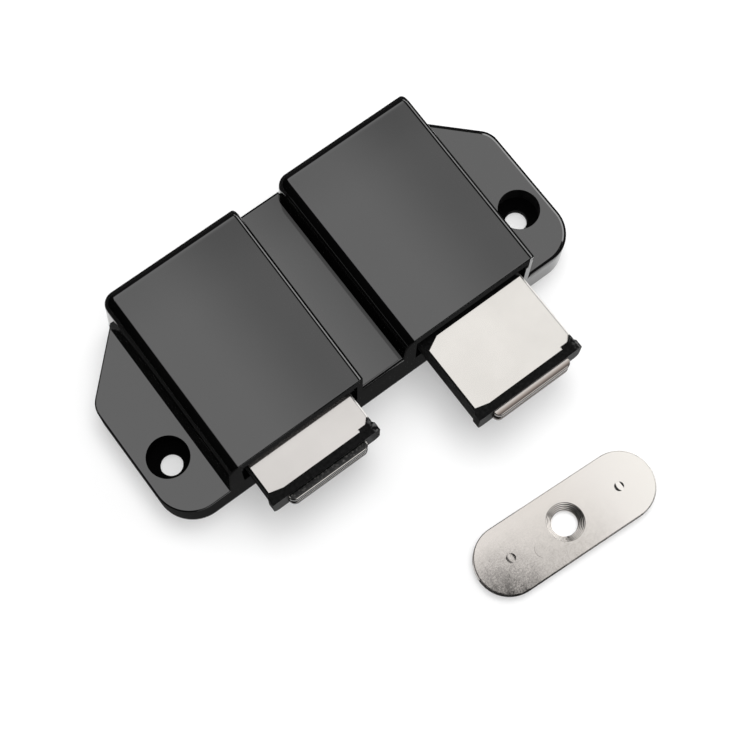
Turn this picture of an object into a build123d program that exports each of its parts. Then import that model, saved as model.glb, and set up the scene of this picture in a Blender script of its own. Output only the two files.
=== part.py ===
from build123d import *
import os
from math import asin, atan2, cos, degrees, pi, radians, sin, sqrt, tan

# Double touch latch (magnetic catch) with its loose strike plate.
# Millimetres, +Z up. The mounting face is z = 0 and the origin is midway
# between the two screw holes. The plungers come out towards -Y.

# ---- housing -------------------------------------------------------------
hole_spacing = 82.6        # between the two screw holes
hole_setback = 12.2        # front face to the line of the screw holes
housing_depth = 41.4       # front face to back face
block_pitch = 39.4         # between the centre lines of the two blocks
block_left = 15.45         # centre line to the left wall, under its rounded edge
block_right = 14.3         # centre line to the upright right wall, at the front
right_flare = 0.5          # right wall further out at the back
block_height = 19.0        # mounting face to the flat top of a block
block_draft = 4.5          # degrees, left and back walls of a block
edge_round = 2.5           # radius along the left and back of the flat top
right_round = 0.7          # radius along its right side
back_corner_r = 2.7        # upright back corners of a block
strip_height = 12.0        # lower strip between the blocks
strip_round = 0.8          # rolled front and back edges of the strip
ear_height = 7.1           # thickness of an ear
ear_margin = 5.8           # screw hole to the outer edge of an ear
ear_side_length = 28.3     # straight outer edge, front face to the slanted back edge
ear_slant = 45.0           # degrees, slanted back edge of an ear
ear_front_r = 7.3          # front corner of an ear
ear_back_r = 4.5           # corner between outer edge and slanted edge
wall = 1.6                 # general wall thickness
right_wall = 1.2           # steep right wall of a block
mouth_side = 1.3           # opening beside a plunger
lintel = 2.7               # front wall over a plunger
roof = 1.8                 # thickness over the plungers
rib = 1.2                  # thickness of the guide ribs
rib_count = 5              # upright guide ribs on each side of a plunger
rib_root = 0.2             # how far ribs and pins run into the walls
edge_break = 0.3           # small radius on outer plastic edges

# ---- screw holes ---------------------------------------------------------
screw_bore_d = 4.4         # clearance bore for the screw shank
screw_head_d = 8.3         # recess for a countersunk head
screw_floor = 1.2          # plastic left under the head cone
screw_boss_wall = 1.4      # wall of the boss round the recess

# ---- base plate ----------------------------------------------------------
base_t = 1.5               # thickness of the base plate
base_gap = 0.1             # between base plate and housing recess
stake_d = 3.0              # housing posts that pass through the base plate
stake_gap = 0.1            # radial clearance round a post
stake_front = 5.0          # front post, forward of the screw line
stake_back = 20.0          # back post, behind the screw line

# ---- plunger: carrier, cover plate, magnet and pole plates -----------------
plunger_top = 13.4         # height of the top of a plunger
slide_gap = 0.35           # running clearance round a plunger
travel = 9.7               # latched to fully out
over_press = 1.5           # past the latched position, to trip the cam
latched_reach = 6.6        # cover plate in front of the housing when latched
cover_width = 22.7
cover_length = 16.3
cover_t = 0.8
cover_front_cut = 2.9      # shallow cut at the front left corner, across
cover_front_cut_y = 0.75   # and back
cover_back_cut = 3.0       # cut at the back left corner, across
cover_back_cut_y = 1.6     # and forward
cover_step = 0.6           # step at the front right, where the carrier's peg sits
cover_step_width = 1.55    # width of that step
cover_peg_cut = 1.05       # 45 degree cut outside the step
cover_corner_r = 0.5       # rounding of the corners at that cut
plate_edge = 0.2           # rolled edge of the stamped plates
carrier_rim = 0.25         # carrier wall beside the cover plate
carrier_shank_h = 5.1      # height of the part that passes the mouth
carrier_tail_h = 8.8       # height of the part that stays inside
carrier_tail_length = 24.0
flange_t = 1.95            # thickness of the front flange
flange_reach = 1.55        # flange in front of the cover plate's front edge
flange_lip = 0.4           # flange wider than the carrier, each side
flange_h = 5.8
flange_corner_r = 1.4      # lower corners of the flange
pole_width = 17.5
pole_length = 13.5
pole_t = 1.1
pole_reach = 1.5           # pole plates in front of the flange
pole_corner_r = 1.3
magnet_t = 1.4
magnet_width = 15.6
magnet_length = 11.0
magnet_recess = 0.7        # magnet behind the pole faces

# ---- return springs --------------------------------------------------------
spring_offset = 8.0        # from the plunger's centre line
spring_z = 9.0
spring_od = 4.6
spring_wire = 0.55
spring_turns = 11
spring_pocket_d = 5.2
spring_pocket_depth = 15.0
spring_pin_d = 2.8
spring_pin_length = 5.0

# ---- push-push cam and its follower ----------------------------------------
pin_d = 1.2                # wire of the follower
pin_gap = 0.05             # radial clearance in the pivot bore
lane_offset = 3.1          # lane of the cam track from the centre line
lane_gap = 0.55            # between the wire and the sides of its lane
cam_depth = 2.2
cam_end_gap = 0.4          # beyond the wire at both ends of the track
notch_depth = 0.7          # V notch that holds the latched wire
follower_arm = 15.0        # pivot to tip, seen from above
pivot_y = 23.0             # pivot behind the screw line
follower_z = 3.1           # height of the arm's centre line
follower_bend_r = 1.0
pivot_boss_d = 4.0
leaf_t = 0.3
leaf_width = 3.0
leaf_span = 9.0
leaf_arm = 7.5             # leaf spring in front of the pivot

# ---- strike plate ------------------------------------------------------------
strike_length = 38.9
strike_width = 13.5
strike_t = 2.0
strike_bore_d = 5.0
strike_head_d = 7.5
strike_edge = 0.25
dimple_spacing = 24.7
dimple_d = 1.9
dimple_depth = 0.35
strike_x = 11.1            # where the loose plate lies
strike_y = -53.0
strike_turn = -3.4         # degrees

# ---- worked out from the sizes above ---------------------------------------------
front_y = -hole_setback
back_y = front_y + housing_depth
block_x = block_pitch / 2
ear_x = hole_spacing / 2 + ear_margin
draft_rise = block_height - edge_round
draft_out = draft_rise * tan(radians(block_draft))
inner_front = front_y + wall
inner_back = back_y - wall
cavity_left = block_left - wall
cavity_right = block_right - right_wall
ceiling_z = block_height - roof
carrier_half = cover_width / 2 + carrier_rim
shank_bottom = plunger_top - carrier_shank_h
tail_bottom = plunger_top - carrier_tail_h
guide_half = carrier_half + slide_gap
guide_top = plunger_top + slide_gap
mouth_half = carrier_half + mouth_side
mouth_top = block_height - lintel
mouth_bottom = shank_bottom - slide_gap
full_reach = latched_reach + travel
shoulder = full_reach + wall + 0.1          # behind the cover plate's front edge
tail_end = shoulder + carrier_tail_length
cover_bottom = plunger_top - cover_t
lower_pole_z = cover_bottom - 2 * pole_t - magnet_t
pin_r = pin_d / 2
tip_x = lane_offset
tip_y = pivot_y - sqrt(follower_arm**2 - lane_offset**2)
far_tip_y = pivot_y - follower_arm
# the wire tip, measured back from the shoulder of the carrier
tip_at_full = tip_y - (front_y - full_reach + shoulder)
tip_at_latch = tip_at_full - travel
tip_at_press = tip_at_latch - over_press
lane_half = pin_r + lane_gap


def box(x0, x1, y0, y1, z0, z1):
    """Box between two corners."""
    size = Box(x1 - x0, y1 - y0, z1 - z0)
    return Pos((x0 + x1) / 2, (y0 + y1) / 2, (z0 + z1) / 2) * size


def rod(x, y, z0, z1, d):
    """Upright round bar."""
    return Pos(x, y, (z0 + z1) / 2) * Cylinder(d / 2, z1 - z0)


def plate(outline, z0, z1):
    """Closed outline raised from z0 to z1."""
    return Pos(0, 0, z0) * extrude(outline, z1 - z0)


# ---------------------------------------------------------------------------
# housing
# ---------------------------------------------------------------------------
def ear_outline():
    """Plan of both ears and the base between them, square at the blocks."""
    slant_y = front_y + ear_side_length
    points = [(-ear_x, front_y), (ear_x, front_y), (ear_x, slant_y)]
    for side, reach in ((1, block_right), (-1, block_left)):
        run = ear_x - (block_x + reach)
        points.append((side * (block_x + reach), slant_y + run * tan(radians(ear_slant))))
    points.append((-ear_x, slant_y))
    sketch = make_face(Polyline(*points, close=True))
    corners = sketch.vertices()
    fronts = [v for v in corners if abs(v.Y - front_y) < 1e-6]
    backs = [v for v in corners if abs(v.Y - slant_y) < 1e-6]
    sketch = fillet(fronts, ear_front_r)
    backs = [
        v for v in sketch.vertices()
        if abs(v.Y - slant_y) < 1e-6 and abs(abs(v.X) - ear_x) < 1e-6
    ]
    return fillet(backs, ear_back_r)


def block_form(x):
    """One raised block: drafted left and back walls, upright right wall."""
    overhang = 4 * edge_round + 4
    width = 2 * block_left + draft_out + overhang
    y1 = back_y + draft_out
    y0 = front_y - overhang
    left = -block_left - draft_out
    plan = Pos(left + width / 2, (y0 + y1) / 2) * Rectangle(width, y1 - y0)
    rear = plan.vertices().group_by(Axis.Y)[-1]
    plan = fillet(rear, back_corner_r + draft_out)
    form = extrude(plan, block_height, taper=block_draft)
    top = form.faces().sort_by(Axis.Z)[-1]
    form = fillet(top.edges(), edge_round)
    side = make_face(Polyline(
        (left - 1, front_y),
        (block_right, front_y),
        (block_right + right_flare, back_y),
        (block_right + right_flare, y1 + 1),
        (left - 1, y1 + 1),
        close=True,
    ))
    form = form & plate(side, 0, block_height + 1)
    right = form.faces().sort_by(Axis.X)[-1]
    crest = [e for e in right.edges() if e.center().Z > 1 and e.center().Y > front_y + 0.1]
    form = fillet(crest, right_round)
    front = form.faces().sort_by(Axis.Y)[0]
    brim = [e for e in front.edges() if e.center().Z > 1]
    form = fillet(brim, edge_break)
    return Pos(x, 0, 0) * form


def screw_recess(x):
    """Bore, cone and head recess of one screw."""
    cone_h = (screw_head_d - screw_bore_d) / 2
    seat_z = screw_floor + cone_h
    bore = rod(x, 0, -1, screw_floor + 1, screw_bore_d)
    cone = Pos(x, 0, screw_floor + cone_h / 2) * Cone(screw_bore_d / 2, screw_head_d / 2, cone_h)
    head = rod(x, 0, seat_z, ear_height + 1, screw_head_d)
    return bore + cone + head


def ear_core(side):
    """Hollow under one ear, round the screw boss."""
    outline = offset(ear_outline(), -wall)
    inner = block_x + (block_right + right_flare if side > 0 else block_left + draft_out)
    reach = box(inner + wall / 2, ear_x + 1, front_y, back_y, 0, ear_height - wall)
    core = plate(outline, 0, ear_height - wall)
    core = core & (reach if side > 0 else mirror(reach, Plane.YZ))
    boss = rod(side * hole_spacing / 2, 0, -1, ear_height, screw_head_d + 2 * screw_boss_wall)
    web = box(inner - 1, ear_x, -rib / 2, rib / 2, -1, ear_height)
    web = web if side > 0 else mirror(web, Plane.YZ)
    return core - boss - web


def guide_ribs(x):
    """Upright ribs beside a plunger, two ceiling rails and two spring pins."""
    parts = []
    step = (inner_back - inner_front - rib) / rib_count
    for i in range(rib_count):
        y = inner_front + rib / 2 + step * i
        for s in (-1, 1):
            near = s * guide_half
            far = rib_root + cavity_right if s > 0 else -rib_root - cavity_left
            web = box(
                min(near, far), max(near, far), y - rib / 2, y + rib / 2,
                base_t, ceiling_z + rib_root,
            )
            parts.append(Pos(x, 0, 0) * web)
    for s in (-1, 1):
        rail_x = x + s * (spring_offset - rib)
        rail = box(
            rail_x - rib / 2, rail_x + rib / 2, inner_front + wall, inner_back - wall,
            guide_top, ceiling_z + rib_root,
        )
        parts.append(rail)
        y0 = inner_back - spring_pin_length
        pin = Pos(x + s * spring_offset, (y0 + inner_back + rib_root) / 2, spring_z)
        pin = pin * Rot(90, 0, 0) * Cylinder(spring_pin_d / 2, spring_pin_length + rib_root)
        parts.append(pin)
    return parts


def base_recess(gap):
    """Outline of the base plate, gap smaller than its recess."""
    x0 = gap - block_x - cavity_left
    x1 = block_x + cavity_right - gap
    y0 = inner_front + gap
    y1 = inner_back - gap
    sketch = Pos((x0 + x1) / 2, (y0 + y1) / 2) * Rectangle(x1 - x0, y1 - y0)
    return fillet(sketch.vertices(), wall)


def make_housing():
    """Moulded shell: two blocks, the strip between them and two ears."""
    body = extrude(ear_outline(), ear_height)
    rims = body.faces().sort_by(Axis.Z)[-1].edges()
    rims = [e for e in rims if abs(e.center().X) > block_x + block_left + 0.5]
    body = fillet(rims, edge_break)
    strip_half = block_x - block_right + wall
    strip = box(-strip_half, strip_half, front_y, back_y, 0, strip_height)
    rims = strip.edges().filter_by(Axis.X).group_by(Axis.Z)[-1]
    body += fillet(rims, strip_round)
    for s in (-1, 1):
        body += block_form(s * block_x)
    core_x0 = block_right - block_x
    core_x1 = block_x - block_left
    body -= box(core_x0, core_x1, inner_front, inner_back, 0, strip_height - roof)
    for s in (-1, 1):
        x = s * block_x
        body -= box(x - cavity_left, x + cavity_right, inner_front, inner_back, 0, ceiling_z)
        body -= box(x - mouth_half, x + mouth_half, front_y - 1, inner_front + 0.1, mouth_bottom, mouth_top)
        body -= ear_core(s)
        for piece in guide_ribs(x):
            body += piece
    body -= plate(base_recess(0), 0, base_t)
    for y in (-stake_front, stake_back):
        body += rod(0, y, 0, strip_height - roof / 2, stake_d)
    for s in (-1, 1):
        body -= screw_recess(s * hole_spacing / 2)
    return body


# ---------------------------------------------------------------------------
# base plate
# ---------------------------------------------------------------------------
def make_base_plate():
    """Plate that closes the housing, with runners and follower pivots."""
    body = plate(base_recess(base_gap), 0, base_t)
    for s in (-1, 1):
        x = s * block_x
        for t in (-1, 1):
            rail_x = x + t * (guide_half - 2 * rib)
            body += box(
                rail_x - rib / 2, rail_x + rib / 2, inner_front + wall, inner_back - wall,
                base_t / 2, tail_bottom - slide_gap,
            )
            stop_x = x + t * (leaf_span / 2 + rib / 2 + 0.05)
            stop_y = pivot_y - leaf_arm
            body += box(
                stop_x - rib / 2, stop_x + rib / 2, stop_y - leaf_width / 2, stop_y + leaf_width / 2,
                base_t / 2, base_t + 2 * leaf_t,
            )
        boss_top = follower_z - follower_bend_r
        body += rod(x, pivot_y, base_t / 2, boss_top, pivot_boss_d)
        body -= rod(x, pivot_y, base_t / 3, boss_top + 1, pin_d + 2 * pin_gap)
    for y in (-stake_front, stake_back):
        body -= rod(0, y, -1, base_t + 1, stake_d + 2 * stake_gap)
    return body


# ---------------------------------------------------------------------------
# plunger. Local y = 0 is the front edge of the cover plate.
# ---------------------------------------------------------------------------
def cover_outline():
    """Plan of the nickelled cover plate."""
    h = cover_width / 2
    step_x = h - cover_peg_cut
    points = [
        (cover_front_cut - h, 0),
        (step_x - cover_step_width, 0),
        (step_x - cover_step_width, cover_step),
        (step_x, cover_step),
        (h, cover_step + cover_peg_cut),
        (h, cover_length),
        (cover_back_cut - h, cover_length),
        (-h, cover_length - cover_back_cut_y),
        (-h, cover_front_cut_y),
    ]
    sketch = make_face(Polyline(*points, close=True))
    cut = [v for v in sketch.vertices() if v.X > step_x - 0.1 and v.Y < cover_length / 2]
    return fillet(cut, cover_corner_r)


def pole_outline():
    """Plan of one pole plate, rounded at the front."""
    y0 = -flange_reach - pole_reach
    sketch = Pos(0, y0 + pole_length / 2) * Rectangle(pole_width, pole_length)
    return fillet(sketch.vertices().group_by(Axis.Y)[0], pole_corner_r)


def cam_island():
    """Heart-shaped island of the cam track, notch towards the front."""
    half = lane_offset - lane_half
    horn = tip_at_latch + pin_r + 0.1
    tail = tip_at_full - 2 * pin_d
    waist = (horn + tail) / 2
    points = [
        (0, horn + notch_depth),
        (half * 0.6, horn),
        (half, horn + 0.6 * notch_depth),
        (half, waist),
        (0, tail),
        (-half, waist),
        (-half, horn + 0.6 * notch_depth),
        (-half * 0.6, horn),
    ]
    sketch = make_face(Polyline(*points, close=True))
    sides = [v for v in sketch.vertices() if abs(v.Y - waist) < 1e-6]
    return fillet(sides, half)


def cam_track():
    """Closed track cut in the underside of the carrier, without its island."""
    half = lane_offset + lane_half
    y0 = tip_at_press - pin_r - cam_end_gap
    y1 = tip_at_full + pin_r + cam_end_gap
    ring = Pos(0, (y0 + y1) / 2) * Rectangle(2 * half, y1 - y0)
    ring = fillet(ring.vertices(), lane_half)
    return Pos(0, shoulder) * (ring - cam_island())


def make_carrier():
    """Moulded slider: flange, shank for the magnet and a deeper tail."""
    w = carrier_half + flange_lip
    z0 = plunger_top - flange_h
    face = Pos(0, (z0 + plunger_top) / 2) * Rectangle(2 * w, flange_h)
    low = face.vertices().group_by(Axis.Y)[0]
    high = face.vertices().group_by(Axis.Y)[-1]
    face = fillet(low, flange_corner_r)
    face = fillet(face.vertices().group_by(Axis.Y)[-1], edge_break)
    back = flange_t - flange_reach
    plan = Pos(0, back - flange_t / 2) * Rectangle(2 * w, flange_t)
    plan = chamfer(plan.vertices().group_by(Axis.Y)[-1], flange_lip)
    flange = Pos(0, back, 0) * extrude(Plane.XZ * face, flange_t)
    flange = flange & plate(plan, z0 - 1, plunger_top + 1)
    body = flange + box(-carrier_half, carrier_half, 0, shoulder, shank_bottom, plunger_top)
    body += box(-carrier_half, carrier_half, shoulder, tail_end, tail_bottom, plunger_top)
    body -= plate(cover_outline(), cover_bottom, plunger_top + 1)
    pocket_y = pole_length - flange_reach - pole_reach
    body -= box(-pole_width / 2, pole_width / 2, -flange_reach - 1, pocket_y, lower_pole_z, cover_bottom)
    body -= plate(cam_track(), tail_bottom - 1, tail_bottom + cam_depth)
    core = spring_offset - spring_pocket_d / 2 - wall
    core_z = tail_bottom + cam_depth + wall
    body -= box(-core, core, shoulder + wall, tail_end - wall, core_z, plunger_top + 1)
    for s in (-1, 1):
        pocket = Pos(s * spring_offset, tail_end - spring_pocket_depth / 2, spring_z)
        body -= pocket * Rot(90, 0, 0) * Cylinder(spring_pocket_d / 2, spring_pocket_depth)
    return body


def make_cover():
    """Nickelled steel plate that holds the magnet pack down."""
    body = plate(cover_outline(), cover_bottom, plunger_top)
    return fillet(body.faces().sort_by(Axis.Z)[-1].edges(), plate_edge)


def make_pole(z):
    """Steel pole plate with its front edges rolled."""
    body = plate(pole_outline(), z, z + pole_t)
    nose = [e for e in body.edges() if e.center().Y < pole_corner_r - flange_reach - pole_reach]
    nose = [e for e in nose if abs(e.center().Z - z - pole_t / 2) > pole_t / 4]
    return fillet(nose, plate_edge)


def make_magnet():
    """Magnet between the two pole plates, set back from their faces."""
    y0 = magnet_recess - flange_reach - pole_reach
    z = lower_pole_z + pole_t
    half = magnet_width / 2
    return box(-half, half, y0, y0 + magnet_length, z, z + magnet_t)


def make_spring(reach, s):
    """Return spring from the carrier's pocket to the housing's back wall."""
    start = front_y - reach + tail_end - spring_pocket_depth
    length = inner_back - start
    radius = (spring_od - spring_wire) / 2
    rise = length - 2 * spring_wire
    coil = Helix(pitch=rise / spring_turns, height=rise, radius=radius)
    section = Plane(origin=coil @ 0, z_dir=coil % 0) * Circle(spring_wire / 2)
    wire = sweep(section, path=coil, is_frenet=True)
    ends = []
    for z in (0, rise):
        ends.append(Pos(0, 0, z) * Torus(radius, spring_wire / 2))
    spring = wire + ends[0] + ends[1]
    place = Pos(s * spring_offset, start + spring_wire, spring_z) * Rot(-90, 0, 0)
    return place * spring


def make_follower():
    """Bent wire: pivot leg down, arm forward, tip up into the cam track."""
    foot = base_t / 3 + 0.1
    tip = tail_bottom + cam_depth - 0.5
    points = [
        (0, pivot_y, foot),
        (0, pivot_y, follower_z),
        (tip_x, tip_y, follower_z),
        (tip_x, tip_y, tip),
    ]
    path = FilletPolyline(*points, radius=follower_bend_r)
    section = Plane(origin=path @ 0, z_dir=path % 0) * Circle(pin_r)
    return sweep(section, path=path)


def make_leaf():
    """Bowed leaf spring that presses the follower into its track."""
    crown = follower_z - pin_r - 0.05
    outer = ThreePointArc((-leaf_span / 2, base_t + leaf_t), (0, crown), (leaf_span / 2, base_t + leaf_t))
    inner = ThreePointArc((leaf_span / 2, base_t), (0, crown - leaf_t), (-leaf_span / 2, base_t))
    right = Line(outer @ 1, inner @ 0)
    left = Line(inner @ 1, outer @ 0)
    face = Plane.XZ * make_face([outer, right, inner, left])
    leaf = extrude(face, leaf_width)
    return Pos(0, pivot_y - leaf_arm + leaf_width / 2, 0) * leaf


# ---------------------------------------------------------------------------
# strike plate
# ---------------------------------------------------------------------------
def make_strike():
    """Stadium plate with one countersunk hole and two dimples."""
    outline = SlotOverall(strike_length, strike_width)
    body = extrude(outline, strike_t)
    body = fillet(body.faces().sort_by(Axis.Z)[-1].edges(), strike_edge)
    body -= rod(0, 0, -1, strike_t + 1, strike_bore_d)
    cone_h = (strike_head_d - strike_bore_d) / 2
    cone = Cone(strike_bore_d / 2, strike_head_d / 2, cone_h)
    body -= Pos(0, 0, strike_t - cone_h / 2) * cone
    ball_r = (dimple_d**2 / 4 + dimple_depth**2) / (2 * dimple_depth)
    for s in (-1, 1):
        body -= Pos(s * dimple_spacing / 2, 0, strike_t - dimple_depth + ball_r) * Sphere(ball_r)
    return Pos(strike_x, strike_y, 0) * Rot(0, 0, strike_turn) * body


# ---------------------------------------------------------------------------
# assembly
# ---------------------------------------------------------------------------
parts = {}
parts["housing"] = make_housing()
parts["base_plate"] = make_base_plate()
parts["strike_plate"] = make_strike()

carrier = make_carrier()
cover = make_cover()
lower_pole = make_pole(lower_pole_z)
upper_pole = make_pole(lower_pole_z + pole_t + magnet_t)
magnet = make_magnet()
follower = make_follower()
leaf = make_leaf()

for name, s, reach in (("left", -1, latched_reach), ("right", 1, full_reach)):
    inside = Pos(s * block_x, 0, 0)
    slide = Pos(s * block_x, front_y - reach, 0)
    parts[name + "_carrier"] = slide * carrier
    parts[name + "_cover_plate"] = slide * cover
    parts[name + "_upper_pole"] = slide * upper_pole
    parts[name + "_magnet"] = slide * magnet
    parts[name + "_lower_pole"] = slide * lower_pole
    parts[name + "_outer_spring"] = inside * make_spring(reach, s)
    parts[name + "_inner_spring"] = inside * make_spring(reach, -s)
    parts[name + "_follower"] = inside * follower
    parts[name + "_leaf_spring"] = inside * leaf

os.makedirs("parts", exist_ok=True)
for name, solid in parts.items():
    export_step(solid, f"parts/{name}.step")
    print(name, len(solid.solids()), round(solid.volume, 2))
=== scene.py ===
from math import cos, radians, sin, tan

import bpy
from mathutils import Matrix, Vector


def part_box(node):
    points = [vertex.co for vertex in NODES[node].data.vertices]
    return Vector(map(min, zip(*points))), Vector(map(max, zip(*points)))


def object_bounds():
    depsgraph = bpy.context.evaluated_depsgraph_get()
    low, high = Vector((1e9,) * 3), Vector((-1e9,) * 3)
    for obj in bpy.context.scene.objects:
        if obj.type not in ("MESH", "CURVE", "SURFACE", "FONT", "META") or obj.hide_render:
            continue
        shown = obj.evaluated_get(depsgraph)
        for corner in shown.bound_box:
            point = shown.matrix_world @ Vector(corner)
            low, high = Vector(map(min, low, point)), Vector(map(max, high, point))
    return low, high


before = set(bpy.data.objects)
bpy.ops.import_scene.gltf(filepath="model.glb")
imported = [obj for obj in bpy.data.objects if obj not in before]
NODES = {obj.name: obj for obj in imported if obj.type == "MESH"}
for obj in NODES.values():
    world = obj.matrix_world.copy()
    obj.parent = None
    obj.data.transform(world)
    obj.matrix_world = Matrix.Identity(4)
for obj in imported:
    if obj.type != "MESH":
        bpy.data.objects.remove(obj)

cad_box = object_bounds()
S = bpy.context.scene

# ---------------------------------------------------------------------------
# places on the catch that its materials follow, in metres unless it says otherwise
# ---------------------------------------------------------------------------
FRONT_Y = -0.0122           # front face of the housing
BLOCK_X = 0.0197            # centre line of a block
BLOCK_RIGHT = 0.0143        # from there to its right wall, at the front
BLOCK_FLARE = 0.0121        # how fast that wall runs outwards, going back: a ratio
BLOCK_TOP = (0.0185, 0.0195)    # heights that hold a flat top
STRIP_TOP = (0.0115, 0.0125)
EAR_TOP = (0.0065, 0.0075)
CREST_INSET = 0.00115       # how far inside that wall the roll of its edge begins
CREST_RAMP = 0.00045        # how far from there it goes on bending
CREST_RADIUS = 0.0012       # how sharply it bends
EAR_X = 0.0471              # outer edge of an ear
EAR_SLANT_Y = 0.0161        # where its slanted back edge begins
EAR_SLANT_BLEND = 0.0022    # rounds the corner between those two
EAR_FRONT_R = 0.0073        # its front corner
EAR_INSET = 0.00075         # how far inside its outline the roll begins
EAR_STEP = 0.0003           # from there to the steeper part of the roll
SCREW_X = 0.0413
SCREW_HEAD_R = 0.0042
PLATE_EDGE = 0.0002         # rolled edge of a cover plate
PLATE_NOSE_DOWN = 8         # degrees
STRIKE_AT = (0.0111, -0.053)
STRIKE_TURN = -3.4          # degrees
STRIKE_HALF = 0.0127        # from its middle to the centre of a round end
DIMPLE_AT = 0.01235
DIMPLE_R = 0.00095
CONE_R = 0.00375            # countersink at the face of the strike plate
SCRATCH_AT = (-0.00638, -0.00187)   # centre of the curved scratch, along and across
SCRATCH_R = 0.0016


# ---------------------------------------------------------------------------
# node helpers
# ---------------------------------------------------------------------------
class Tree:
    """Short hand for building a node tree."""

    def __init__(self, tree):
        self.t = tree
        self.t.nodes.clear()

    def add(self, kind, **props):
        made = self.t.nodes.new(kind)
        for key, value in props.items():
            setattr(made, key, value)
        return made

    def link(self, a, b):
        self.t.links.new(a, b)

    def feed(self, socket, value):
        """Link an output to a socket, or set a plain number on it."""
        if isinstance(value, (int, float)):
            socket.default_value = value
        else:
            self.link(value, socket)

    def math(self, operation, *values):
        made = self.add("ShaderNodeMath", operation=operation)
        for socket, value in zip(made.inputs, values):
            self.feed(socket, value)
        return made.outputs[0]

    def chain(self, operation, first, *rest):
        for value in rest:
            first = self.math(operation, first, value)
        return first

    def times(self, *values):
        return self.chain("MULTIPLY", *values)

    def plus(self, *values):
        return self.chain("ADD", *values)

    def minus(self, a, b):
        return self.math("SUBTRACT", a, b)

    def most(self, *values):
        return self.chain("MAXIMUM", *values)

    def least(self, a, b):
        return self.math("MINIMUM", a, b)

    def size(self, a):
        return self.math("ABSOLUTE", a)

    def radius(self, x, y, cx=0.0, cy=0.0):
        """Distance of (x, y) from (cx, cy)."""
        dx = self.minus(x, cx)
        dy = self.minus(y, cy)
        return self.math("SQRT", self.plus(self.times(dx, dx), self.times(dy, dy)))

    def ramp(self, source, stops):
        """Colour ramp through (place, grey or (r, g, b)) stops."""
        made = self.add("ShaderNodeValToRGB")
        band = made.color_ramp
        while len(band.elements) > 1:
            band.elements.remove(band.elements[-1])
        for i, (at, value) in enumerate(stops):
            item = band.elements[0] if i == 0 else band.elements.new(at)
            item.position = at
            if isinstance(value, (int, float)):
                value = (value, value, value)
            item.color = (*value, 1)
        self.feed(made.inputs["Fac"], source)
        return made.outputs["Color"]

    def noise(self, coords, scale, detail, roughness=0.5):
        made = self.add("ShaderNodeTexNoise")
        made.inputs["Scale"].default_value = scale
        made.inputs["Detail"].default_value = detail
        made.inputs["Roughness"].default_value = roughness
        self.link(coords, made.inputs["Vector"])
        return made.outputs["Fac"]

    def span(self, source, low, high, source_low=0.0, source_high=1.0, smooth=False):
        """Maps a range of the source to low..high, and holds it outside."""
        made = self.add("ShaderNodeMapRange")
        if smooth:
            made.interpolation_type = "SMOOTHSTEP"
        made.inputs["From Min"].default_value = source_low
        made.inputs["From Max"].default_value = source_high
        made.inputs["To Min"].default_value = low
        made.inputs["To Max"].default_value = high
        self.link(source, made.inputs["Value"])
        return made.outputs["Result"]

    def rise(self, source, low, high, smooth=False):
        """0 up to low, 1 from high on."""
        return self.span(source, 0, 1, low, high, smooth)

    def fade(self, source, low, high, smooth=False):
        """1 up to low, 0 from high on."""
        return self.span(source, 1, 0, low, high, smooth)

    def between(self, source, low, high, soft=0.0002):
        """1 between two values with short ramps outside them, else 0."""
        return self.times(self.rise(source, low - soft, low), self.fade(source, high, high + soft))

    def place(self, kind):
        """One of the texture coordinates: Object, Normal or Generated."""
        return self.add("ShaderNodeTexCoord").outputs[kind]

    def split(self, vector):
        made = self.add("ShaderNodeSeparateXYZ")
        self.link(vector, made.inputs[0])
        return made.outputs["X"], made.outputs["Y"], made.outputs["Z"]

    def blend(self, factor, a, b, how="MIX"):
        """Colour mix; a and b are outputs or (r, g, b)."""
        made = self.add("ShaderNodeMix", data_type="RGBA", blend_type=how)
        self.feed(made.inputs["Factor"], factor)
        for socket, value in ((made.inputs[6], a), (made.inputs[7], b)):
            if isinstance(value, tuple):
                socket.default_value = (*value, 1)
            else:
                self.link(value, socket)
        return made.outputs[2]


def material(name, **fixed):
    """Principled material; returns (material, tree, shader, object coordinates)."""
    mat = bpy.data.materials.new(name)
    mat.use_nodes = True
    tree = Tree(mat.node_tree)
    out = tree.add("ShaderNodeOutputMaterial")
    shader = tree.add("ShaderNodeBsdfPrincipled")
    tree.link(shader.outputs["BSDF"], out.inputs["Surface"])
    for key, value in fixed.items():
        shader.inputs[key.replace("_", " ")].default_value = value
    return mat, tree, shader, tree.place("Object")


def bump(tree, shader, height, strength, distance):
    """Fine texture of the surface."""
    made = tree.add("ShaderNodeBump")
    made.inputs["Strength"].default_value = strength
    made.inputs["Distance"].default_value = distance
    tree.link(height, made.inputs["Height"])
    tree.link(made.outputs["Normal"], shader.inputs["Normal"])


def relief(tree, shader, height):
    """Adds a height in metres under the fine bump. A shader takes only one."""
    made = tree.add("ShaderNodeBump")
    made.inputs["Strength"].default_value = 1.0
    made.inputs["Distance"].default_value = 1.0
    tree.link(height, made.inputs["Height"])
    fine = shader.inputs["Normal"].links[0].from_node
    tree.link(made.outputs["Normal"], fine.inputs["Normal"])


# ---------------------------------------------------------------------------
# materials
# ---------------------------------------------------------------------------
def black_plastic(name, rough, tone):
    """Plain black moulding or ferrite, with a faint cloud and fine grain."""
    mat, tree, shader, coords = material(name, IOR=1.5)
    cloud = tree.noise(coords, 60, 4)
    tree.link(tree.ramp(cloud, [(0.3, tone * 0.8), (0.7, tone * 1.2)]), shader.inputs["Base Color"])
    fine = tree.noise(coords, 900, 2)
    tree.link(tree.span(fine, rough * 0.8, rough * 1.25), shader.inputs["Roughness"])
    bump(tree, shader, tree.noise(coords, 500, 2), 0.05, 0.00002)
    return mat


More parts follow.
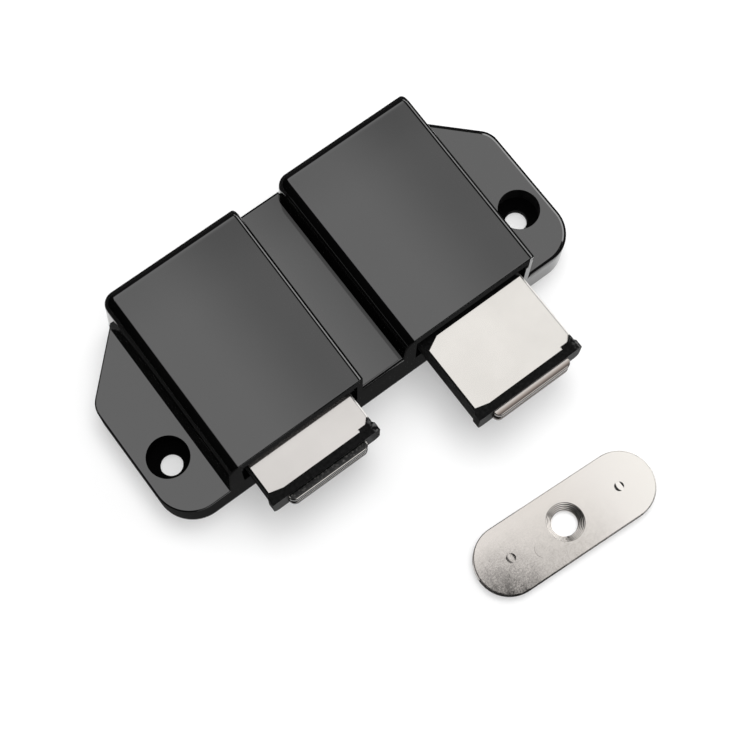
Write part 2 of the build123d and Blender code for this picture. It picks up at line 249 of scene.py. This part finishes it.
def nickel(name, tone, rough, node=None):
    """Satin nickel or drawn wire. A cover plate gives its node's name."""
    mat, tree, shader, coords = material(name, Metallic=1.0)
    cloud = tree.noise(coords, 90, 5)
    dark = tuple(c * 0.93 for c in tone)
    tree.link(tree.ramp(cloud, [(0.35, dark), (0.65, tone)]), shader.inputs["Base Color"])
    fine = tree.noise(coords, 900, 3, 0.6)
    tree.link(tree.span(fine, rough * 0.85, rough * 1.2), shader.inputs["Roughness"])
    bump(tree, shader, fine, 0.15, 0.00002)
    if node:
        relief(tree, shader, plate_relief(tree, coords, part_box(node)[1][0]))
    return mat


def plate_relief(tree, coords, edge):
    """Height that sits a cover plate a little nose down and squares its rolled right edge."""
    x, y = tree.split(coords)[:2]
    rolled = tree.most(tree.minus(x, edge - PLATE_EDGE), 0.0)
    rolled = tree.least(rolled, PLATE_EDGE * 0.95)
    drop = tree.math("SQRT", tree.minus(PLATE_EDGE ** 2, tree.times(rolled, rolled)))
    lift = tree.minus(PLATE_EDGE, drop)
    return tree.plus(tree.times(y, tan(radians(PLATE_NOSE_DOWN))), lift)


def pole_metal(name, node, painted_reflection_tones, rim, face, highlight_specks):
    """Pole plate: a painted reflection whose colour changes from its nose back to the flange, a
    painted highlight on its rim with specks of it on the top, and painted shading on its front
    face.
    """
    mat, tree, shader, coords = material(name, Metallic=1.0)
    x, y = tree.split(coords)[:2]
    nz = tree.split(tree.place("Normal"))[2]
    low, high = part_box(node)
    nose, middle, half = low[1], (low[0] + high[0]) / 2, (high[0] - low[0]) / 2
    grain = tree.noise(coords, 2200, 4, 0.7)
    # painted reflection: the top's colour runs from the nose back to the flange, flecked with the
    # painted highlight
    top = tree.ramp(tree.rise(y, nose, nose + 0.0016), painted_reflection_tones)
    top = tree.blend(tree.span(grain, 0, highlight_specks, 0.52, 0.75), top, rim)
    # painted highlight along the nose and both sides
    across = tree.size(tree.minus(x, middle))
    at_nose = tree.fade(y, nose + 0.0002, nose + 0.0003)
    at_side = tree.rise(across, half - 0.0003, half - 0.0002)
    top = tree.blend(tree.most(at_nose, at_side), top, rim)
    # painted shade: faces that don't look upwards take the darker front colour
    upward = tree.rise(nz, 0.5, 0.8)
    tree.link(tree.blend(upward, face, top), shader.inputs["Base Color"])
    tree.link(tree.span(grain, 0.12, 0.22), shader.inputs["Roughness"])
    bump(tree, shader, grain, 0.2, 0.00002)
    return mat


def strike_metal():
    """Tumbled nickel, more mottled towards its lower left end; painted shading darkens that end and
    its lower side, and painted light brightens it towards the right end.
    """
    mat, tree, shader, coords = material("strike_nickel", Metallic=1.0)
    local = tree.add("ShaderNodeMapping", vector_type="TEXTURE")
    local.inputs["Location"].default_value = (*STRIKE_AT, 0)
    local.inputs["Rotation"].default_value = (0, 0, radians(STRIKE_TURN))
    tree.link(coords, local.inputs["Vector"])
    along, over, z = tree.split(local.outputs["Vector"])

    # painted light: the colour brightens towards the right end; the grain is more mottled towards
    # the lower left end
    t = tree.rise(along, -0.018, 0.018)
    tone = tree.ramp(t, [
        (0.05, (0.68, 0.64, 0.605)), (0.5, (0.71, 0.67, 0.63)),
        (0.75, (0.785, 0.75, 0.715)), (1, (0.86, 0.83, 0.785))])
    mottle_and_painted_shade = tree.ramp(t, [(0.05, 1.0), (0.17, 0.65), (0.28, 0.38), (0.6, 0.18), (0.8, 0.0)])
    low_side = tree.span(over, 0.8, 0, -0.0065, 0.005)
    fine = tree.noise(coords, 3000, 4, 0.75)
    broad = tree.noise(coords, 700, 5, 0.65)
    grain = tree.plus(tree.span(fine, -1.0, 1.0, 0.3, 0.7), tree.span(broad, -0.5, 0.5, 0.3, 0.7))
    grain = tree.times(grain, tree.times(mottle_and_painted_shade, tree.plus(low_side, 0.12)))
    # painted shade: darker along the lower side towards the left end
    painted_shade_and_marks = tree.minus(1.0, tree.times(mottle_and_painted_shade, low_side))
    painted_shade_and_marks = tree.plus(painted_shade_and_marks, tree.times(grain, 0.5))

    # turned rings in the countersink, the dimples and a curved scratch
    from_hole = tree.radius(along, over)
    from_dimple = tree.radius(tree.size(along), over, DIMPLE_AT, 0)
    dimple = tree.fade(from_dimple, 0.0009, 0.00105)
    cone = tree.times(tree.fade(from_hole, 0.0037, 0.0038), tree.fade(z, 0.0019, 0.00198))
    rings = tree.math("SINE", tree.times(from_hole, 22000.0))
    painted_shade_and_marks = tree.plus(painted_shade_and_marks, tree.times(cone, tree.times(rings, 0.1)))
    from_arc = tree.size(tree.minus(tree.radius(along, over, *SCRATCH_AT), SCRATCH_R))
    left_part = tree.fade(along, SCRATCH_AT[0] - 0.0011, SCRATCH_AT[0] - 0.0009)
    scratch = tree.times(tree.fade(from_arc, 0.00002, 0.00009), left_part)
    painted_shade_and_marks = tree.minus(painted_shade_and_marks, tree.times(scratch, 0.3))
    painted_shade_and_marks = tree.ramp(tree.times(painted_shade_and_marks, 0.7), [(0, 0), (1, 1.43)])
    tree.link(tree.blend(1.0, tone, painted_shade_and_marks, "MULTIPLY"), shader.inputs["Base Color"])

    polish = tree.span(fine, 0.2, 0.3)
    smoother = tree.times(tree.most(dimple, cone), tree.minus(0.11, polish))
    tree.link(tree.plus(polish, smoother), shader.inputs["Roughness"])
    height = tree.plus(tree.times(grain, 0.9), tree.times(rings, cone, 0.5))
    bump(tree, shader, height, 0.5, 0.00004)

    # both hollows look a little flatter than they are
    inside = tree.times(tree.most(tree.minus(CONE_R, from_hole), 0.0), 0.6)
    bowl = tree.math("DIVIDE", from_dimple, DIMPLE_R)
    bowl = tree.most(tree.minus(1.0, tree.times(bowl, bowl)), 0.0)
    relief(tree, shader, tree.plus(inside, tree.times(bowl, 0.00018)))
    return mat


def crest_fall(tree, dx, y, z):
    """Height lost over the right edge of a block, which rolls wider than its crest."""
    flare = tree.times(tree.minus(y, FRONT_Y), BLOCK_FLARE)
    inset = tree.minus(dx, tree.plus(flare, BLOCK_RIGHT - CREST_INSET))
    inset = tree.most(inset, 0.0)
    begun = tree.least(inset, CREST_RAMP)
    fall = tree.times(begun, tree.minus(inset, tree.times(begun, 0.5)))
    return tree.times(fall, tree.times(tree.rise(z, 0.0175, 0.018), -1 / CREST_RADIUS))


def ear_fall(tree, x, y, z):
    """Height lost over the rolled outline of the right ear."""
    out = tree.minus(x, EAR_X)
    slant = tree.times(tree.plus(out, tree.minus(y, EAR_SLANT_Y)), 0.7071)
    rear = tree.math("SMOOTH_MAX", out, slant, EAR_SLANT_BLEND)
    sideways = tree.most(tree.plus(out, EAR_FRONT_R), 0.0)
    forward = tree.most(tree.minus(EAR_FRONT_R + FRONT_Y, y), 0.0)
    corner = tree.minus(tree.radius(sideways, forward), EAR_FRONT_R)
    inset = tree.most(tree.plus(tree.most(rear, corner), EAR_INSET), 0.0)
    steeper = tree.most(tree.minus(inset, EAR_STEP), 0.0)
    fall = tree.plus(tree.times(inset, 0.5), tree.times(steeper, 0.8))
    on_ear = tree.times(tree.between(z, *EAR_TOP), tree.rise(out, -0.013, -0.0125))
    return tree.times(fall, tree.times(on_ear, -1.0))


def housing_gloss():
    """Polished black; painted shading in the specular tint darkens the reflection of the flat tops
    a little towards their right side and back.
    """
    mat, tree, shader, coords = material("housing_gloss", IOR=1.6, Specular_IOR_Level=1.0)
    x, y, z = tree.split(coords)
    nz = tree.split(tree.place("Normal"))[2]
    dx = tree.minus(x, tree.times(tree.math("SIGN", x), BLOCK_X))

    # painted shade: the reflection of the tops darkens towards the right of each block, across the
    # strip and towards the back
    on_block = tree.times(tree.between(z, *BLOCK_TOP), tree.span(dx, 0, 0.29, -0.006, 0.0105, True))
    on_strip = tree.times(tree.between(z, *STRIP_TOP), tree.span(x, 0, 0.22, -0.004, 0.005))
    at_back = tree.span(y, 0, 0.1, 0.015, 0.028, True)
    at_back = tree.times(at_back, tree.between(z, STRIP_TOP[0], BLOCK_TOP[1]))
    painted_reflection_shade = tree.plus(on_block, on_strip, at_back)
    painted_reflection_shade = tree.times(painted_reflection_shade, tree.rise(nz, 0.98, 0.998))
    painted_reflection_shade = tree.times(painted_reflection_shade, tree.span(tree.noise(coords, 70, 4), 0.94, 1.06, 0.3, 0.7))

    # the screw recesses are unpolished, and painted shade in the specular tint darkens their
    # reflection
    from_screw = tree.radius(tree.size(x), y, SCREW_X, 0)
    matt_shaded_recess = tree.fade(from_screw, SCREW_HEAD_R - 0.00005, SCREW_HEAD_R + 0.00005)
    matt_shaded_recess = tree.times(matt_shaded_recess, tree.fade(z, 0.0069, 0.00705))
    painted_reflection_shade = tree.most(painted_reflection_shade, matt_shaded_recess)
    tree.link(tree.blend(painted_reflection_shade, (1, 1, 1), (0, 0, 0)), shader.inputs["Specular Tint"])

    cloud = tree.noise(coords, 60, 4)
    tree.link(tree.ramp(cloud, [(0.3, 0.0015), (0.7, 0.0025)]), shader.inputs["Base Color"])
    polish = tree.span(tree.noise(coords, 900, 2), 0.05, 0.075)
    tree.link(tree.plus(polish, tree.times(matt_shaded_recess, 0.8)), shader.inputs["Roughness"])
    bump(tree, shader, tree.noise(coords, 500, 2), 0.05, 0.00002)
    relief(tree, shader, tree.plus(crest_fall(tree, dx, y, z), ear_fall(tree, x, y, z)))
    return mat


def carrier_black(side):
    """Moulded slider, matt black with a fine texture; its sides are painted lighter than its tops,
    and specks at the right end of its flange are painted highlights.

    The cover plate looks as wide as the carrier on its right, so the rim there is metal too.
    """
    mat, tree, shader, coords = material(side + "carrier_black", IOR=1.5, Specular_IOR_Level=0.05)
    x, y, z = tree.split(coords)
    nz = tree.split(tree.place("Normal"))[2]
    grain = tree.noise(coords, 1800, 4, 0.6)
    # painted light: sides that don't face upwards are lighter than the tops
    top = tree.ramp(grain, [(0.35, 0.002), (0.65, 0.007), (0.75, 0.02)])
    lit_flank = tree.ramp(grain, [(0.3, 0.02), (0.7, 0.045)])
    colour = tree.blend(tree.rise(tree.size(nz), 0.5, 0.9), lit_flank, top)
    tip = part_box(side + "carrier")[1][0]
    # painted highlights in specks at the right end of the flange
    tip_highlight = tree.times(tree.rise(x, tip - 0.0014, tip - 0.0004), tree.rise(grain, 0.46, 0.6))
    colour = tree.blend(tip_highlight, colour, (0.11, 0.11, 0.11))

    low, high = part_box(side + "cover_plate")
    beside = tree.rise(x, high[0] - 0.00002, high[0])
    rim = tree.times(beside, tree.rise(z, high[2] - 0.0009, high[2] - 0.0007))
    rim = tree.times(rim, tree.rise(y, low[1] + 0.0015, low[1] + 0.0017))
    tree.link(tree.blend(rim, colour, (0.85, 0.83, 0.8)), shader.inputs["Base Color"])
    tree.link(rim, shader.inputs["Metallic"])
    rough = tree.minus(tree.span(grain, 0.4, 0.6), tree.times(rim, 0.25))
    tree.link(rough, shader.inputs["Roughness"])
    bump(tree, shader, grain, 0.3, 0.00003)
    return mat


def paint(mat, *names):
    for name in names:
        mesh = NODES[name].data
        mesh.materials.clear()
        mesh.materials.append(mat)


paint(housing_gloss(), "housing")
paint(black_plastic("base_matt", 0.45, 0.02), "base_plate")
paint(strike_metal(), "strike_plate")
ferrite = black_plastic("ferrite", 0.6, 0.05)
wire = nickel("wire", (0.55, 0.55, 0.55), 0.3)
COVER_TONES = {"left": (0.62, 0.595, 0.575), "right": (0.72, 0.695, 0.66)}
for side, tone in COVER_TONES.items():
    cover = side + "_cover_plate"
    paint(nickel("cover_nickel_" + side, tone, 0.15, cover), cover)
    paint(carrier_black(side + "_"), side + "_carrier")
    paint(ferrite, side + "_magnet")
    paint(wire, *(side + piece for piece in (
        "_outer_spring", "_inner_spring", "_follower", "_leaf_spring")))
# the same pole plates, painted as a dark reflection on the left and a bright one on the right
pole_painted_dark_reflection = pole_metal(
    "pole_painted_dark_reflection", "left_upper_pole",
    painted_reflection_tones=[(0.25, (0.03, 0.03, 0.03)), (0.9, (0.01, 0.01, 0.01))],
    rim=(0.6, 0.58, 0.55), face=(0.02, 0.02, 0.02), highlight_specks=0.16)
pole_painted_bright_reflection = pole_metal(
    "pole_painted_bright_reflection", "right_upper_pole",
    painted_reflection_tones=[(0.22, (0.07, 0.06, 0.055)), (0.4, (0.22, 0.18, 0.16)),
           (0.7, (0.5, 0.46, 0.43)), (0.95, (0.72, 0.69, 0.67))],
    rim=(0.5, 0.47, 0.44), face=(0.2, 0.18, 0.17), highlight_specks=0.1)
paint(pole_painted_dark_reflection, "left_upper_pole", "left_lower_pole")
paint(pole_painted_bright_reflection, "right_upper_pole", "right_lower_pole")


# ---------------------------------------------------------------------------
# camera
# ---------------------------------------------------------------------------
cam = bpy.data.cameras.new("camera")
cam.sensor_width = 36
cam.lens = 76.37
cam.clip_start = 0.01
cam.clip_end = 100
eye = bpy.data.objects.new("camera", cam)
S.collection.objects.link(eye)
axes = (                    # right, up and back of the view
    (0.80035, -0.59946, 0.00926),
    (0.57251, 0.76877, 0.285),
    (-0.17797, -0.2228, 0.95848),
)
turn = Matrix(axes).transposed().to_4x4()
eye.matrix_world = Matrix.Translation((-0.054319, -0.076707, 0.293332)) @ turn
S.camera = eye


# ---------------------------------------------------------------------------
# floor, and dark cards that only reflections see; they put painted shade into the reflections, and
# those near the catch a painted shadow of the floor
# ---------------------------------------------------------------------------
FLOOR_Z = -0.0001
CARD_Z = 0.0004
FAR = 2                     # how far out the big cards reach
GAP = 0.0003                # from the catch to a card


def flat_mesh(name, corners, mat):
    mesh = bpy.data.meshes.new(name)
    mesh.from_pydata(corners, [], [tuple(range(len(corners)))])
    mesh.materials.append(mat)
    obj = bpy.data.objects.new(name, mesh)
    S.collection.objects.link(obj)
    return obj


def rect(x0, x1, y0, y1, z):
    return [(x0, y0, z), (x1, y0, z), (x1, y1, z), (x0, y1, z)]


def stage_material(name):
    """Material whose own glow isn't sampled as a lamp; returns (material, tree, output)."""
    mat = bpy.data.materials.new(name)
    mat.use_nodes = True
    mat.cycles.emission_sampling = "NONE"
    tree = Tree(mat.node_tree)
    return mat, tree, tree.add("ShaderNodeOutputMaterial").inputs["Surface"]


def floor_white():
    """Pale diffuse floor that takes shadows, lifted to white where it is looked at."""
    mat, tree, surface = stage_material("floor")
    diffuse = tree.add("ShaderNodeBsdfDiffuse")
    diffuse.inputs["Color"].default_value = (0.62, 0.62, 0.62, 1)
    glow = tree.add("ShaderNodeEmission")
    path = tree.add("ShaderNodeLightPath").outputs
    seen = tree.most(path["Is Camera Ray"], path["Is Transmission Ray"], path["Is Glossy Ray"])
    tree.link(tree.times(seen, 0.36), glow.inputs["Strength"])
    both = tree.add("ShaderNodeAddShader")
    tree.link(diffuse.outputs[0], both.inputs[0])
    tree.link(glow.outputs[0], both.inputs[1])
    tree.link(both.outputs[0], surface)
    return mat


def shade_card_material():
    mat, tree, surface = stage_material("card")
    glow = tree.add("ShaderNodeEmission")
    glow.inputs["Strength"].default_value = 0.04
    tree.link(glow.outputs[0], surface)
    return mat


def card(name, corners):
    obj = flat_mesh(name, corners, shade_card_mat)
    obj.visible_camera = False
    obj.visible_diffuse = False
    obj.visible_shadow = False


def strike_card():
    """Dark card along the lower side and round ends of the strike plate, on the floor: a painted
    shadow in the plate's reflections there.
    """
    reach, width = 0.00677, 0.004
    points = []
    for end, first in ((-1, 180), (1, 270)):
        for step in range(10):
            a = radians(first + step * 10)
            points.append((end * STRIKE_HALF + reach * cos(a), reach * sin(a)))
    x, y = STRIKE_HALF + reach + width, -reach - width
    points += [(x, 0), (x, y), (-x, y), (-x, 0)]
    a = radians(STRIKE_TURN)
    return [(STRIKE_AT[0] + x * cos(a) - y * sin(a), STRIKE_AT[1] + x * sin(a) + y * cos(a), CARD_Z)
            for x, y in points]


flat_mesh("floor", rect(-8, 8, -8, 8, FLOOR_Z), floor_white())
shade_card_mat = shade_card_material()
low, high = cad_box
body_low, body_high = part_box("housing")
left, right = low[0] - GAP, high[0] + GAP
behind, before = high[1] + 0.006, low[1] - 0.06
near = body_low[1] - 0.006
# painted shade: the floor beyond the catch is dark in reflections
card("card_back", rect(-FAR, FAR, behind, FAR, CARD_Z))
card("card_left", rect(-FAR, left, -FAR, behind, CARD_Z))
card("card_right", rect(right, FAR, -FAR, behind, CARD_Z))
card("card_front", rect(left, right, -FAR, before, CARD_Z))
# painted shadow: under and in front of the catch, reflections see a dark floor
card("card_near", rect(body_low[0] - GAP, body_high[0] - 0.017, near, body_high[1], CARD_Z))
card("card_strip_front", rect(-0.0075, 0.0065, before, near, CARD_Z))
card("card_strike", strike_card())
# painted shade in the reflection of the housing's front face over the mouths
x0, x1, y = body_low[0], body_high[0] - 0.014, body_low[1] - 0.00005
z0, z1 = 0.0142, 0.0188
card("card_lintel", [(x0, y, z0), (x1, y, z0), (x1, y, z1), (x0, y, z1)])


# ---------------------------------------------------------------------------
# light: a wide soft panel overhead, a bright band low on the right, two lamps
# ---------------------------------------------------------------------------
def window(tree, value, low, high, soft):
    """1 between two angles in degrees from straight up, with soft ends, else 0."""
    a, b, w = (tan(radians(v)) for v in (low, high, soft))
    return tree.times(
        tree.rise(value, a - w / 2, a + w / 2, True), tree.fade(value, b - w, b + w, True))


def lamp(name, spot, size, watts):
    """Square lamp aimed at the catch. Reflections see the world, not the lamps."""
    light = bpy.data.lights.new(name, "AREA")
    light.shape = "RECTANGLE"
    light.size = light.size_y = size
    light.energy = watts
    obj = bpy.data.objects.new(name, light)
    S.collection.objects.link(obj)
    obj.location = spot
    obj.rotation_euler = (-Vector(spot)).to_track_quat("-Z", "Y").to_euler()
    obj.visible_glossy = False
    obj.visible_camera = False


world = bpy.data.worlds.new("studio")
S.world = world
world.use_nodes = True
tree = Tree(world.node_tree)
out = tree.add("ShaderNodeOutputWorld")
sky = tree.add("ShaderNodeBackground")
sky.inputs["Color"].default_value = (1, 1, 1, 1)
tree.link(sky.outputs[0], out.inputs["Surface"])
dx, dy, dz = tree.split(tree.place("Generated"))
up = tree.most(dz, 0.001)
across = tree.math("DIVIDE", dx, up)
back = tree.math("DIVIDE", dy, up)
panel = tree.times(window(tree, across, -11, 27, 2), window(tree, back, -35, 53, 5))
band = tree.times(window(tree, across, 55, 86, 3), window(tree, back, -60, 70, 5))
glow = tree.plus(tree.times(panel, 1.12), tree.times(band, 2.4), 0.03)
glow = tree.times(glow, tree.rise(across, -0.25, -0.15))
above = tree.math("GREATER_THAN", dz, 0.0)
tree.link(tree.times(glow, above), sky.inputs["Strength"])

lamp("key", (0.25, 0.15, 0.75), 0.4, 1.6)
lamp("fill", (0.05, 0.05, 0.8), 1.2, 6.0)
S.view_settings.view_transform = "Standard"
